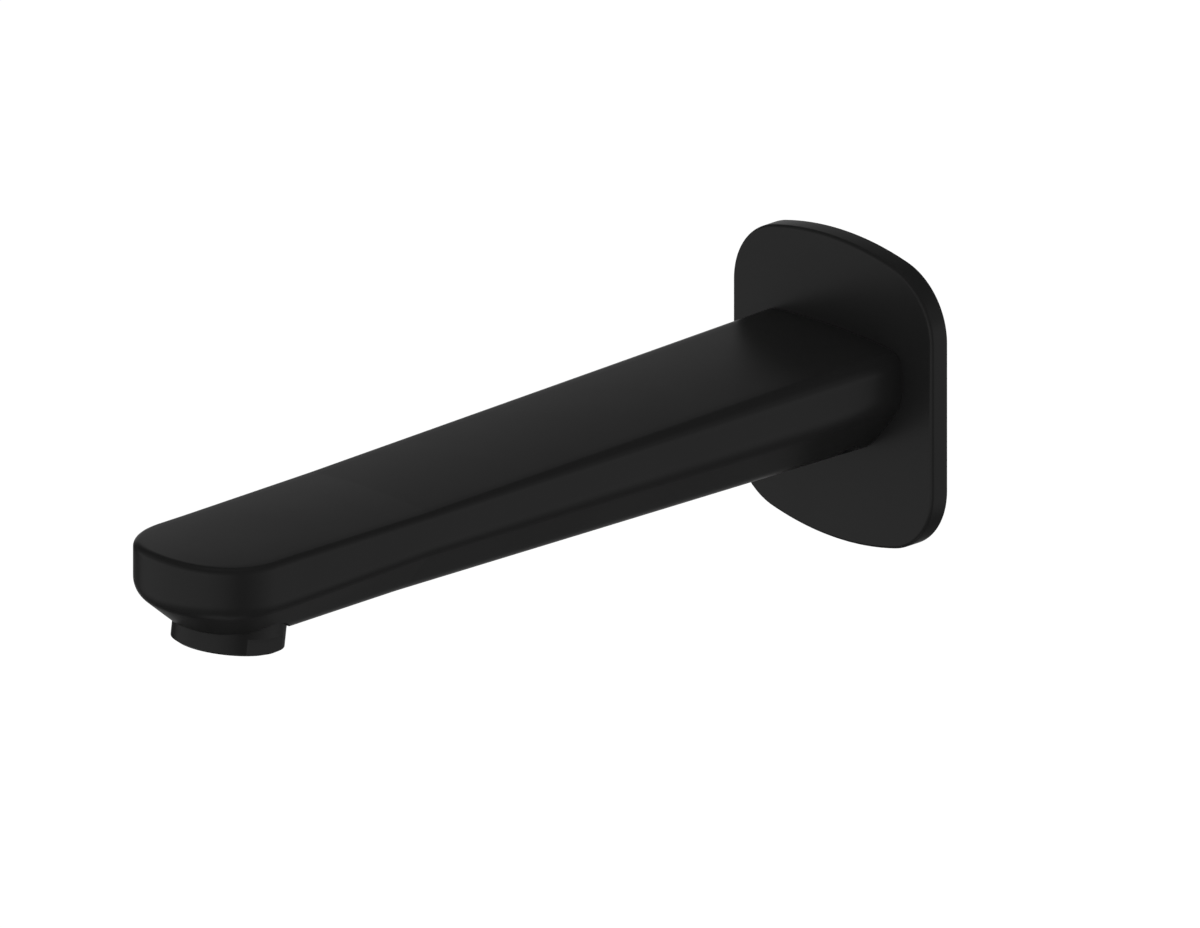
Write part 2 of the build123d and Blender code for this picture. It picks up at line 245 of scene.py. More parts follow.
print(len(BAND_BY_HEIGHT), "levels by height and", len(BAND_BY_HEADING), "by heading")

# %% World
world = bpy.data.worlds.new("studio")
world.use_nodes = True
scene.world = world
# The world is found by the rays themselves, because a world sampled as a lamp doesn't know the kind of ray.
world.cycles.sampling_method = "NONE"
tree = world.node_tree
tree.nodes.clear()
rays = add_node(tree, "ShaderNodeLightPath")
aim = add_node(tree, "ShaderNodeTexCoord")
way = add_node(tree, "ShaderNodeSeparateXYZ", inputs={0: aim.outputs["Generated"]})
height = add_node(tree, "ShaderNodeMath", {"operation": "ARCSINE"}, {0: way.outputs["Z"]})
heading = add_node(tree, "ShaderNodeMath", {"operation": "ARCTAN2"}, {0: way.outputs["Y"], 1: way.outputs["X"]})
height_share = add_node(tree, "ShaderNodeMath", {"operation": "MULTIPLY_ADD"},
                        {0: height.outputs[0], 1: 1 / pi, 2: 0.5})
heading_share = add_node(tree, "ShaderNodeMath", {"operation": "MULTIPLY_ADD"},
                         {0: heading.outputs[0], 1: 0.5 / pi, 2: 0.5})
by_height = level_ramp(tree, height_share.outputs[0], BAND_BY_HEIGHT, -90, 90)
by_heading = level_ramp(tree, heading_share.outputs[0], BAND_BY_HEADING, -180, 180, HEADING_TOP)
band = add_node(tree, "ShaderNodeMath", {"operation": "MULTIPLY"}, {0: by_height, 1: by_heading})
band = add_node(tree, "ShaderNodeMath", {"operation": "MULTIPLY"}, {0: band.outputs[0], 1: HEADING_TOP})
in_rear = add_node(tree, "ShaderNodeMath", {"operation": "MULTIPLY"},
                   {0: level_ramp(tree, height_share.outputs[0], REAR_IN_HEIGHT, -90, 90),
                    1: level_ramp(tree, heading_share.outputs[0], REAR_IN_HEADING, -180, 180)})
band = add_node(tree, "ShaderNodeMix", {"data_type": "FLOAT"},
                {"Factor": in_rear.outputs[0], "A": band.outputs[0],
                 "B": level_ramp(tree, height_share.outputs[0], REAR_BY_HEIGHT, -90, 90)})
lit = add_node(tree, "ShaderNodeMix", {"data_type": "FLOAT"},
               {"Factor": rays.outputs["Is Diffuse Ray"], "A": band.outputs[0], "B": EVEN_LIGHT})
level = add_node(tree, "ShaderNodeMath", {"operation": "MAXIMUM"},
                 {0: lit.outputs[0], 1: rays.outputs["Is Camera Ray"]})
level = add_node(tree, "ShaderNodeMath", {"operation": "MAXIMUM"},
                 {0: level.outputs[0], 1: rays.outputs["Is Transmission Ray"]})
sky = add_node(tree, "ShaderNodeBackground", inputs={"Color": colour("#ffffff"), "Strength": level.outputs[0]})
add_node(tree, "ShaderNodeOutputWorld", inputs={"Surface": sky.outputs[0]})
print("world: white to the camera, even light", EVEN_LIGHT)

# %% [markdown]
# ## The floor and one lamp
#
# A spout hangs on a wall, so the floor lies well below it. Its card glows by itself for the camera until it is
# white, and the rest of its light is what falls on it, so that the spout's shadow still shows there. Reflections
# pass through it to the band. One wide lamp overhead gives the shadow and a little more light from above.

# %% Floor and lamp
FLOOR_Z, FLOOR_HALF, FLOOR_GLOW = -320.0, 4000, 0.15
LAMP_SIZE_M, LAMP_WATTS, LAMP_PLACE_M = 1.2, 3, (0, -0.1, 1.6)
floor = mesh_piece("floor", [(x * FLOOR_HALF, y * FLOOR_HALF, FLOOR_Z)
                             for x, y in ((-1, -1), (1, -1), (1, 1), (-1, 1))], [(0, 1, 2, 3)])
floor.visible_glossy = False
floor_paint = bpy.data.materials.new("floor_white_card")
floor_paint.use_nodes = True
tree = floor_paint.node_tree
tree.nodes.clear()
rays = add_node(tree, "ShaderNodeLightPath")
seen = add_node(tree, "ShaderNodeMath", {"operation": "MAXIMUM"},
                {0: rays.outputs["Is Camera Ray"], 1: rays.outputs["Is Glossy Ray"]})
seen = add_node(tree, "ShaderNodeMath", {"operation": "MAXIMUM"},
                {0: seen.outputs[0], 1: rays.outputs["Is Transmission Ray"]})
glow_level = add_node(tree, "ShaderNodeMath", {"operation": "MULTIPLY"}, {0: seen.outputs[0], 1: FLOOR_GLOW})
card = add_node(tree, "ShaderNodeBsdfDiffuse", inputs={"Color": colour("#f2f2f2")})
glow = add_node(tree, "ShaderNodeEmission", inputs={"Color": colour("#ffffff"), "Strength": glow_level.outputs[0]})
both = add_node(tree, "ShaderNodeAddShader", inputs={0: card.outputs[0], 1: glow.outputs[0]})
add_node(tree, "ShaderNodeOutputMaterial", inputs={"Surface": both.outputs[0]})
floor.data.materials.append(floor_paint)

lamp_data = bpy.data.lights.new("overhead_softbox", "AREA")
lamp_data.size = LAMP_SIZE_M
lamp_data.energy = LAMP_WATTS
lamp = bpy.data.objects.new("overhead_softbox", lamp_data)
lamp.matrix_world = Matrix.Translation(LAMP_PLACE_M)
lamp.visible_glossy = False
scene.collection.objects.link(lamp)
print("floor", -FLOOR_Z, "mm below the inlet, one soft lamp")

# %% [markdown]
# ## The finishes
#
# Five materials make up the spout, and one function can write them all, because each is a colour, a gloss and an
# unevenness of a known size: the orange peel of a sprayed coat, the rings that a lathe leaves, or the grain of a
# mould. A fine noise of that size goes to the bump, and a broad one lets the gloss and colour drift a little.

# %% Materials
DRIFT_MM = 25
# Nearly all of a noise lies between these two levels.
NOISE_LOW, NOISE_HIGH = 0.3, 0.7
DARKEST_TINT = 0.9
LATHE_STRETCH = (0.05, 1.0, 0.05)


def finish(name, hex_value, roughness, metallic=0.0, specular=0.5, grain_mm=1.5, grain_depth_mm=0.002,
           rough_spread=0.04, turned=False):
    """A coating or bare surface: its colour, its gloss, and unevenness of a real size in millimetres."""
    material = bpy.data.materials.new(name)
    material.use_nodes = True
    nodes = material.node_tree
    nodes.nodes.clear()
    where = add_node(nodes, "ShaderNodeTexCoord")
    place = where.outputs["Object"]
    if turned:
        # Lathe marks run round the inlet's axis, so the pattern is fine along that axis and stretched across it.
        spread = add_node(nodes, "ShaderNodeMapping", inputs={"Vector": place, "Scale": LATHE_STRETCH})
        place = spread.outputs["Vector"]
    fine = add_node(nodes, "ShaderNodeTexNoise", {"noise_dimensions": "3D"},
                    {"Vector": place, "Scale": 1 / (grain_mm * MM), "Detail": 2.0})
    broad = add_node(nodes, "ShaderNodeTexNoise", {"noise_dimensions": "3D"},
                     {"Vector": where.outputs["Object"], "Scale": 1 / (DRIFT_MM * MM), "Detail": 2.0})
    gloss = add_node(nodes, "ShaderNodeMapRange", {},
                     {"Value": broad.outputs["Fac"], "From Min": NOISE_LOW, "From Max": NOISE_HIGH,
                      "To Min": roughness - rough_spread / 2, "To Max": roughness + rough_spread / 2})
    tint = add_node(nodes, "ShaderNodeMix", {"data_type": "RGBA"},
                    {"Factor": broad.outputs["Fac"], "A": colour(hex_value),
                     "B": tuple(c * DARKEST_TINT for c in colour(hex_value)[:3]) + (1.0,)})
    dents = add_node(nodes, "ShaderNodeBump", {},
                     {"Height": fine.outputs["Fac"], "Strength": 1.0, "Distance": grain_depth_mm * MM})
    skin = add_node(nodes, "ShaderNodeBsdfPrincipled", {},
                    {"Base Color": tint.outputs["Result"], "Roughness": gloss.outputs[0],
                     "Metallic": metallic, "Specular IOR Level": specular, "Normal": dents.outputs["Normal"]})
    add_node(nodes, "ShaderNodeOutputMaterial", inputs={"Surface": skin.outputs[0]})
    return material


# Powder coating, sprayed on and baked: deep black with a soft sheen, and an orange peel that is only just there.
black_powder_coat = finish("black_powder_coat", "#1b1b1b", 0.3, specular=0.2, rough_spread=0.03)
# Free-cutting brass, turned and left bare: yellow metal with fine rings round its axis. Real rings are about 0.1 mm
# apart, too fine to show, so they are drawn four times as coarse.
turned_brass = finish("turned_brass", "#e3c684", 0.32, metallic=1.0, grain_mm=0.4, grain_depth_mm=0.004,
                      turned=True)
# Stainless steel, cold-headed and woven: a grey metal, a little dull from its fine grain.
stainless_steel = finish("stainless_steel", "#c4c5c6", 0.35, metallic=1.0, grain_mm=0.8)
# EPDM rubber, moulded: dull black with a slightly rough skin, so that it hardly shines.
epdm_rubber = finish("epdm_rubber", "#161616", 0.75, specular=0.3, grain_mm=0.6, grain_depth_mm=0.01)
# Acetal, injection-moulded: black with the satin of the mould's spark-eroded steel.
moulded_acetal = finish("moulded_acetal", "#1d1d1f", 0.5, specular=0.4, grain_mm=0.8, grain_depth_mm=0.004)
SLOT_FINISH = {"black_finish": black_powder_coat, "bare_brass": turned_brass, "screw_steel": stainless_steel,
               "seal_rubber": epdm_rubber, "cartridge_plastic": moulded_acetal}
print("finishes:", ", ".join(m.name for m in SLOT_FINISH.values()))


def dress(piece, slot, node):
    """Gives a new piece its finish, lets it ride on the one body, and hides the solid that it stands for."""
    piece.data.materials.clear()
    piece.data.materials.append(SLOT_FINISH[slot])
    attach(piece, "root")
    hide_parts(node)


# %% [markdown]
# ## The spout's body: ribs round the outside
#
# The body's outside is a bent sheet. At each place along its edge there is a rib, which runs from the arched top
# over a small rounding down the upright side, round a larger rounding onto the sloping flank, and round again onto
# the flat bottom. Ribs follow the right side from the wall to the nose, go round the nose by heading, and come
# back mirrored on the left. Neighbouring ribs are joined by quads, so the shading flows along the real curves.

# %% Body sizes
PLATE_THICK = 4.45
REACH = 200.0
WAIST_Y, NOSE_Y = 138.9, 176.0
# A station's place from the wall, half its width, the heights of the top's middle, of the upright side's foot and
# of the bottom, how far in the flank reaches, and the roundings of the top's edge, the side's foot and the bottom's
# edge.
WALL = dict(y=PLATE_THICK, half=21.0, top=13.73, foot=1.2, bottom=-12.41, run=11.36, radii=(4.05, 9.75, 12.2))
NOSE = dict(y=NOSE_Y, half=17.95, top=11.4, foot=0.53, bottom=-10.43, run=9.7, radii=(1.6, 5.5, 11.6))
taper = (WALL["half"] - NOSE["half"]) / (NOSE_Y - PLATE_THICK)
WAIST = dict(NOSE, y=WAIST_Y, half=WALL["half"] - taper * (WAIST_Y - PLATE_THICK), foot=2.02, run=10.31)
# The top's arch rises by this share of half its width.
CROWN = 0.049
# The nose: how far in its flank reaches at the very front, and its outline's two radii in plan.
FRONT_RUN = 12.53
FRONT_R, CORNER_R = 25.3, 16.0
# The flank's foot goes round the nose's corners on this share of half its width.
FOOT_CORNER_SHARE = 0.955
# How far apart the ribs stand, in millimetres, and how near to the waist the two beside its crease are.
PITCH = dict(back=2.0, front=1.5, nose=1.2)
CREASE_GAP = 0.3
HEADINGS = 40
# Points along each part of a rib, and across the top and the bottom.
STEPS = dict(top=8, side=4, side_round=12, flank=6, bottom_round=14, across=18)


def crown_radius(half):
    """The radius of the top's arch over a body of this half width."""
    rise = CROWN * half
    return (half * half + rise * rise) / (2 * rise)


def rib(station, edge, out, along, run, shear):
    """One rib, from the top's edge to the bottom's edge.

    edge is the plan point of the upright side, out its outward direction and along its direction of travel, all in
    plan; run is how far in the flank reaches, and shear how far its foot lags behind along the edge.
    """
    top_r, side_r, bottom_r = station["radii"]
    big = crown_radius(station["half"])
    slope = atan2(station["foot"] - station["bottom"], run)
    hub_z = station["top"] - big
    ball_x = edge[0] - top_r * out[0]
    ball_y = edge[1] - top_r * out[1]
    ball_z = hub_z + sqrt((big - top_r) ** 2 - ball_x ** 2)
    start = Vector((ball_x, 0, ball_z - hub_z)).normalized()
    end = Vector((out[0], out[1], 0))
    points = []
    for i in range(STEPS["top"] + 1):
        direction = start.slerp(end, i / STEPS["top"])
        points.append((ball_x + top_r * direction.x, ball_y + top_r * direction.y,
                       ball_z + top_r * direction.z))
    section = []
    reach_side = side_r * tan((pi / 2 - slope) / 2)
    for i in range(STEPS["side"]):
        z = ball_z + (station["foot"] + reach_side - ball_z) * (i + 1) / STEPS["side"]
        section.append((0.0, z))
    for i in range(1, STEPS["side_round"] + 1):
        turn = pi / 2 + (slope - pi / 2) * i / STEPS["side_round"]
        section.append((side_r - side_r * sin(turn), station["foot"] + reach_side - side_r * cos(turn)))
    reach_bottom = bottom_r * tan(slope / 2)
    hub_in, hub_up = run + reach_bottom, station["bottom"] + bottom_r
    flank_end = (hub_in - bottom_r * sin(slope), hub_up - bottom_r * cos(slope))
    flank_start = section[-1]
    for i in range(1, STEPS["flank"] + 1):
        share = i / STEPS["flank"]
        section.append(tuple(a + (b - a) * share for a, b in zip(flank_start, flank_end)))
    for i in range(1, STEPS["bottom_round"] + 1):
        turn = slope * (1 - i / STEPS["bottom_round"])
        section.append((hub_in - bottom_r * sin(turn), hub_up - bottom_r * cos(turn)))
    for inward, z in section:
        lag = shear * inward / run
        points.append((edge[0] - inward * out[0] - lag * along[0],
                       edge[1] - inward * out[1] - lag * along[1], z))
    return points


def between(one, two, share):
    """A rib on the straight lines from one rib to another."""
    return [tuple(a + (b - a) * share for a, b in zip(p, q)) for p, q in zip(one, two)]


def straight_rib(station):
    """The rib of a station between the wall and the nose, where the side runs straight."""
    return rib(station, (station["half"], -station["y"]), (1, 0), (0, -1), station["run"], 0)


def steps_to(start, end, pitch):
    """Even shares of the way from start to end, about one pitch apart, without the start itself."""
    count = max(1, round(abs(end - start) / pitch))
    return [i / count for i in range(1, count + 1)]


# %% Body ribs
corner_x = NOSE["half"] - CORNER_R
lean = asin(corner_x / (FRONT_R - CORNER_R))
corner_y = FRONT_R - REACH - (FRONT_R - CORNER_R) * cos(lean)
foot_half = NOSE["half"] - NOSE["run"]
foot_corner_r = FOOT_CORNER_SHARE * foot_half
foot_front_r = foot_corner_r + (foot_half - foot_corner_r) / sin(lean)
foot_front = REACH - FRONT_RUN
foot_corner_y = foot_front_r - foot_front - (foot_front_r - foot_corner_r) * cos(lean)


def nose_point(heading, corner_centre, corner_radius, front_radius, front):
    """The plan point of the nose's outline whose outward direction has this heading from +X."""
    if heading <= pi / 2 - lean:
        return (corner_centre[0] + corner_radius * cos(heading), corner_centre[1] - corner_radius * sin(heading))
    return (front_radius * cos(heading), front_radius - front - front_radius * sin(heading))


def nose_rib(edge, foot, out):
    """A rib of the nose, whose flank goes from this edge point to this foot point in plan."""
    along = (out[1], -out[0])
    gap = (edge[0] - foot[0], edge[1] - foot[1])
    run = gap[0] * out[0] + gap[1] * out[1]
    shear = gap[0] * along[0] + gap[1] * along[1]
    return rib(NOSE, edge, out, along, run, shear)


wall_rib, waist_rib, joint_rib = straight_rib(WALL), straight_rib(WAIST), straight_rib(NOSE)
right_ribs = [wall_rib]
right_ribs += [between(wall_rib, waist_rib, s) for s in steps_to(PLATE_THICK, WAIST_Y, PITCH["back"])]
# One more rib close to each side of the waist keeps its crease narrow.
right_ribs.insert(-1, between(wall_rib, waist_rib, 1 - CREASE_GAP / (WAIST_Y - PLATE_THICK)))
right_ribs.append(between(waist_rib, joint_rib, CREASE_GAP / (NOSE_Y - WAIST_Y)))
right_ribs += [between(waist_rib, joint_rib, s) for s in steps_to(WAIST_Y, NOSE_Y, PITCH["front"])]
for share in steps_to(-NOSE_Y, corner_y, PITCH["nose"]):
    edge = (NOSE["half"], -NOSE_Y + (corner_y + NOSE_Y) * share)
    foot = (foot_half, -NOSE_Y + (foot_corner_y + NOSE_Y) * share)
    right_ribs.append(nose_rib(edge, foot, (1.0, 0.0)))
for i in range(1, HEADINGS + 1):
    heading = pi / 2 * i / HEADINGS
    edge = nose_point(heading, (corner_x, corner_y), CORNER_R, FRONT_R, REACH)
    foot = nose_point(heading, (foot_half - foot_corner_r, foot_corner_y), foot_corner_r, foot_front_r, foot_front)
    right_ribs.append(nose_rib(edge, foot, (cos(heading), -sin(heading))))
print(len(right_ribs), "ribs a side with", len(wall_rib), "points each")

# %% Body skin
def crown_height(x, y):
    """Height of the arched top: one arch over the nose, and straight lines between the arches behind it."""
    def arch(station, at):
        big = crown_radius(station["half"])
        return station["top"] - big + sqrt(big * big - at * at)
    for near, far in ((WALL, WAIST), (WAIST, NOSE)):
        if near["y"] <= -y <= far["y"]:
            share = (-y - near["y"]) / (far["y"] - near["y"])
            half = near["half"] + (far["half"] - near["half"]) * share
            low, high = (arch(s, x * s["half"] / half) for s in (near, far))
            return low + (high - low) * share
    return arch(NOSE, x)


points, faces = [], []


def store(row):
    """Keeps a row of points and gives their numbers."""
    first = len(points)
    points.extend(row)
    return list(range(first, first + len(row)))


rib_rows = [store(r) for r in right_ribs]
rib_rows += [store([(-x, y, z) for x, y, z in r]) for r in reversed(right_ribs[:-1])]
faces += bridge(rib_rows, closed_rings=False)
tops, bottoms = [], []
for r in right_ribs:
    (tx, ty, tz), (bx, by, bz) = r[0], r[-1]
    spans = [1 - 2 * i / STEPS["across"] for i in range(STEPS["across"] + 1)]
    lift = tz - crown_height(tx, ty)
    tops.append(store([(tx * s, ty, crown_height(tx * s, ty) + lift) for s in spans]))
    bottoms.append(store([(bx * s, by, bz) for s in spans]))
faces += bridge(tops, closed_rings=False) + bridge(bottoms, closed_rings=False)
faces.append(tuple(rib_rows[0] + bottoms[0] + rib_rows[-1][::-1] + tops[0][::-1]))
body = mesh_piece("spout_body_skin", points, faces)
print("outside skin:", len(body.data.polygons), "faces")

# %% [markdown]
# ## The body's hollows
#
# The casting is hollow. Exact booleans cut the recess with the stub that stands in it, the waterway, the socket for
# the nipple and the grub screw's hole. Each tool is a closed mesh of rings. Everything at the outlet is turned about
# an axis that points down and 8.1 degrees forwards, so one function places rings on that axis.

# %% Cutting tools
LEAN = radians(8.1)
OUTLET_RIM = Vector((0, -180.47, -12.36))
OUTLET_UP = Vector((0, sin(LEAN), cos(LEAN)))
OUTLET_SIDE = Vector((0, cos(LEAN), -sin(LEAN)))
OUTLET_ACROSS = Vector((1, 0, 0))
ROUND, SMALL_ROUND = 96, 64


def turns(count):
    """The angles of this many points evenly round a circle."""
    return [2 * pi * i / count for i in range(count)]


def outlet_ring(radius, height, count=ROUND):
    """A ring round the outlet's axis, this high above the aerator's rim."""
    return [tuple(OUTLET_RIM + OUTLET_UP * height + OUTLET_ACROSS * radius * cos(a) + OUTLET_SIDE * radius * sin(a))
            for a in turns(count)]


def inlet_ring(radius, y, count=ROUND):
    """A ring round the inlet's axis."""
    return [(radius * cos(a), y, radius * sin(a)) for a in turns(count)]


print("outlet's rim at", [round(c, 2) for c in OUTLET_RIM], "mm")

# %% Recess, socket and waterway
RECESS_R, RECESS_LOW, RECESS_TOP, STUB_R, STUB_BASE, STUB_BORE, BORE_TOP = 12.7, -13, 9.2, 10.7, 5.1, 9.0, 14.1
recess = ring_piece("recess_tool", [outlet_ring(RECESS_R, RECESS_LOW), outlet_ring(RECESS_R, RECESS_TOP),
                                    outlet_ring(STUB_R, RECESS_TOP), outlet_ring(STUB_R, STUB_BASE)], False)
bore = ring_piece("bore_tool", [outlet_ring(STUB_BORE, STUB_BASE - 1, SMALL_ROUND),
                                outlet_ring(STUB_BORE, BORE_TOP, SMALL_ROUND)], False)
SOCKET_R, SOCKET_END = 9.05, -25
socket = ring_piece("socket_tool", [inlet_ring(SOCKET_R, 0), inlet_ring(SOCKET_R, SOCKET_END)], False)
# The waterway is round at the socket, and wide, low and a little higher up at the outlet.
CHANNEL_FROM, CHANNEL_TO, CHANNEL_STEPS = -24, -187.4, 24
CHANNEL_R, CHANNEL_WIDE, CHANNEL_TALL, CHANNEL_RISE = 8, 12.5, 5.4, 3.6
channel_rings = []
for i in range(CHANNEL_STEPS + 1):
    share = i / CHANNEL_STEPS
    y = CHANNEL_FROM + (CHANNEL_TO - CHANNEL_FROM) * share
    wide = CHANNEL_R + (CHANNEL_WIDE - CHANNEL_R) * share
    tall = CHANNEL_R + (CHANNEL_TALL - CHANNEL_R) * share
    rise = CHANNEL_RISE * share
    channel_rings.append([(wide * cos(a), y, rise + tall * sin(a)) for a in turns(SMALL_ROUND)])
channel = ring_piece("channel_tool", channel_rings, False)
print("waterway:", CHANNEL_FROM - CHANNEL_TO, "mm long")

# %% Screw hole and cuts
SCREW_ANGLE, SCREW_Y, SCREW_HOLE_R, SCREW_FROM, SCREW_TO = radians(46), -10.5, 2.65, 8.5, 25
SCREW_OUT = Vector((sin(SCREW_ANGLE), 0, -cos(SCREW_ANGLE)))
SCREW_SIDE = Vector((cos(SCREW_ANGLE), 0, sin(SCREW_ANGLE)))


def screw_ring(radius, distance):
    """A ring round the grub screw's axis, this far out from the inlet's axis."""
    return [tuple(Vector((0, SCREW_Y, 0)) + SCREW_OUT * distance + Vector((0, 1, 0)) * radius * cos(a)
                  + SCREW_SIDE * radius * sin(a)) for a in turns(SMALL_ROUND)]


screw_hole = ring_piece("screw_tool", [screw_ring(SCREW_HOLE_R, SCREW_FROM),
                                       screw_ring(SCREW_HOLE_R, SCREW_TO)], False)
cut(body, recess, channel, bore, socket, screw_hole)
smooth(body)
dress(body, "black_finish", "spout_body")
print("spout body:", len(body.data.polygons), "faces")

# %% [markdown]
# ## The wall plate
#
# The plate's outline is two arches and two straight sides, joined by four large corners. Moving it inwards only
# shortens its radii, so the same function gives every ring: the back, the rounded front edge, and the seal's groove.
# All rings have the same number of points and are bridged, which needs no booleans.

# %% Wall plate
PLATE_HALF, PLATE_TOP, PLATE_RISE, PLATE_CORNER, PLATE_EDGE, PLATE_HOLE = 30.0, 33.55, 6.15, 15.4, 0.8, 12.2
PLATE_STEPS = dict(side=4, corner=24, arch=14, edge=8)
arch_r = (PLATE_HALF ** 2 + PLATE_RISE ** 2) / (2 * PLATE_RISE)
arch_z = PLATE_TOP - arch_r
knuckle_x = PLATE_HALF - PLATE_CORNER
knuckle_z = arch_z + sqrt((arch_r - PLATE_CORNER) ** 2 - knuckle_x ** 2)
meet = atan2(knuckle_z - arch_z, knuckle_x)


def plate_quarter(inset):
    """The outline from the middle of the right side to the middle of the top."""
    side, corner, arch = PLATE_HALF - inset, PLATE_CORNER - inset, arch_r - inset
    on_side, on_corner, on_arch = (PLATE_STEPS[k] for k in ("side", "corner", "arch"))
    quarter = [(side, knuckle_z * i / on_side) for i in range(on_side)]
    for i in range(on_corner + 1):
        angle = meet * i / on_corner
        quarter.append((knuckle_x + corner * cos(angle), knuckle_z + corner * sin(angle)))
    for i in range(1, on_arch + 1):
        angle = meet + (pi / 2 - meet) * i / on_arch
        quarter.append((arch * cos(angle), arch_z + arch * sin(angle)))
    return quarter


def plate_ring(inset, y):
    """The whole outline, moved inwards by the inset, at this depth."""
    quarter = plate_quarter(inset)
    half = quarter + [(-x, z) for x, z in reversed(quarter[:-1])]
    return [(x, y, z) for x, z in half + [(x, -z) for x, z in reversed(half[1:-1])]]


def hole_ring(radius, y):
    """A circle whose points face those of the outline, so that the two can be bridged."""
    angles = [atan2(z, x) for x, _, z in plate_ring(0, 0)]
    return [(radius * cos(a), y, radius * sin(a)) for a in angles]


GROOVE_IN, GROOVE_WIDE, GROOVE_DEEP = 4.0, 4.0, 1.6
edge_rings = [plate_ring(PLATE_EDGE * (1 - cos(a)), -PLATE_THICK + PLATE_EDGE * (1 - sin(a)))
              for a in (pi / 2 * i / PLATE_STEPS["edge"] for i in range(PLATE_STEPS["edge"] + 1))]
plate = ring_piece("wall_plate_cover", [
    hole_ring(PLATE_HOLE, 0),
    plate_ring(GROOVE_IN + GROOVE_WIDE, 0),
    plate_ring(GROOVE_IN + GROOVE_WIDE, -GROOVE_DEEP),
    plate_ring(GROOVE_IN, -GROOVE_DEEP),
    plate_ring(GROOVE_IN, 0),
    plate_ring(0, 0),
    *edge_rings,
    hole_ring(PLATE_HOLE, -PLATE_THICK),
])
smooth(plate)
dress(plate, "black_finish", "wall_plate")
print("wall plate:", len(plate.data.polygons), "faces")

# %% [markdown]
# ## The aerator's housing
#
# A turned ring with two flats for a spanner. It is made of rings about the leaning axis, with its edges just
# broken. The lower rings are pressed in at both sides, which gives the flats and the small shelf above each without
# a boolean. A flat meets the wall at only 25 degrees, so the shading is kept crisp from 15 degrees on.

# %% Aerator housing
HOUSING_R, HOUSING_TALL, BREAK, CHAMFER_IN, CHAMFER_UP = 12.0, 8.8, 0.2, 1.05, 0.6
RIM_R = HOUSING_R - CHAMFER_IN
FLAT_X, FLAT_TALL = 10.85, 3.85
# Inside, from below: the lip that holds the cartridge, the cartridge's room, and the bore over the stub.
LIP_R, ROOM_R, OVER_STUB_R, LIP_TALL, ROOM_TALL = 9.3, 10.2, 10.75, 1.0, 4.8
HOUSING_ROUND = 128
CRISP_FROM = 15
SMALLEST_COSINE = 0.001


def flatted_point(radius, height, angle):
    """A point of the housing's outside, moved inwards to the flat where it would lie beyond it."""
    x = max(-FLAT_X, min(FLAT_X, radius * cos(angle)))
    return tuple(OUTLET_RIM + Vector((x, 0, 0)) + OUTLET_SIDE * radius * sin(angle) + OUTLET_UP * height)


rim_ring, chamfer_ring, flat_ring = [], [], []
for angle in turns(HOUSING_ROUND):
    # The chamfer ends at the wall, or lower down where a flat cuts it off.
    reach = min(HOUSING_R, max(RIM_R, FLAT_X / max(abs(cos(angle)), SMALLEST_COSINE)))
    rim_ring.append(flatted_point(RIM_R, 0, angle))
    chamfer_ring.append(flatted_point(reach, CHAMFER_UP * (reach - RIM_R) / CHAMFER_IN, angle))
    flat_ring.append(flatted_point(HOUSING_R, FLAT_TALL, angle))
housing = ring_piece("outlet_housing_ring", [
    outlet_ring(LIP_R, 0.0, HOUSING_ROUND), rim_ring, chamfer_ring, flat_ring,
    *[outlet_ring(r, h, HOUSING_ROUND) for r, h in (
        (HOUSING_R, FLAT_TALL), (HOUSING_R, HOUSING_TALL - BREAK), (HOUSING_R - BREAK, HOUSING_TALL),
        (OVER_STUB_R, HOUSING_TALL), (OVER_STUB_R, ROOM_TALL), (ROOM_R, ROOM_TALL), (ROOM_R, LIP_TALL),
        (LIP_R, LIP_TALL))]])
smooth(housing, CRISP_FROM)
dress(housing, "black_finish", "outlet_housing")
print("aerator housing:", len(housing.data.polygons), "faces")

# %% [markdown]
# ## The inlet nipple and its thread
#
# The nipple is turned from brass. Its core is rings again. The hexagon's rings change their radius with the
# direction, and its corners are turned off by a cone as on any nut. The pipe thread repeats itself, so Geometry
# Nodes winds it: a spiral carries a trapezoid, which shrinks to nothing at both ends where the tool runs out. The
# ridge's foot is sunk a little into the core, and an exact union makes one clean solid of the two.

# %% Nipple core
HEX_HALF, HEX_LIMIT, HEX_BACK, HEX_FRONT, HEX_CONE = 10.0, 10.5, 0.8, -3.4, radians(30)
THREAD_ROOT, THREAD_DEPTH, THREAD_PITCH, THREAD_FROM, THREAD_TO = 9.3155, 1.162, 1.814, 2.0, 14.5
FOOT_SUNK = 0.12
NIPPLE_BORE, MOUTH_BREAK, NECK_R, THREAD_BREAK = 6.5, 0.5, 9.3, 0.3
SPIGOT_R, SPIGOT_END, SPIGOT_BREAK = 9.0, -24, 0.6
# Turned into the spigot, each with its radius, start and end: the grub screw's seat and the two rings' grooves.
SPIGOT_CUTS = ((8.5, -7.7, -13.3), (7.3, -14.2, -16.6), (7.3, -19.4, -21.8))


def hex_rings(end, inwards):
    """The end of the hexagon: its face's edge, then the line where the corners' cone meets the flats."""
    reach = [HEX_HALF / cos(a % (pi / 3) - pi / 6) for a in turns(ROUND)]
    turned = [(min(r, HEX_LIMIT), end) for r in reach]
    full = [(r, end + inwards * max(0, r - HEX_LIMIT) * tan(HEX_CONE)) for r in reach]
    return [[(r * cos(a), y, r * sin(a)) for a, (r, y) in zip(turns(ROUND), row)] for row in (turned, full)]


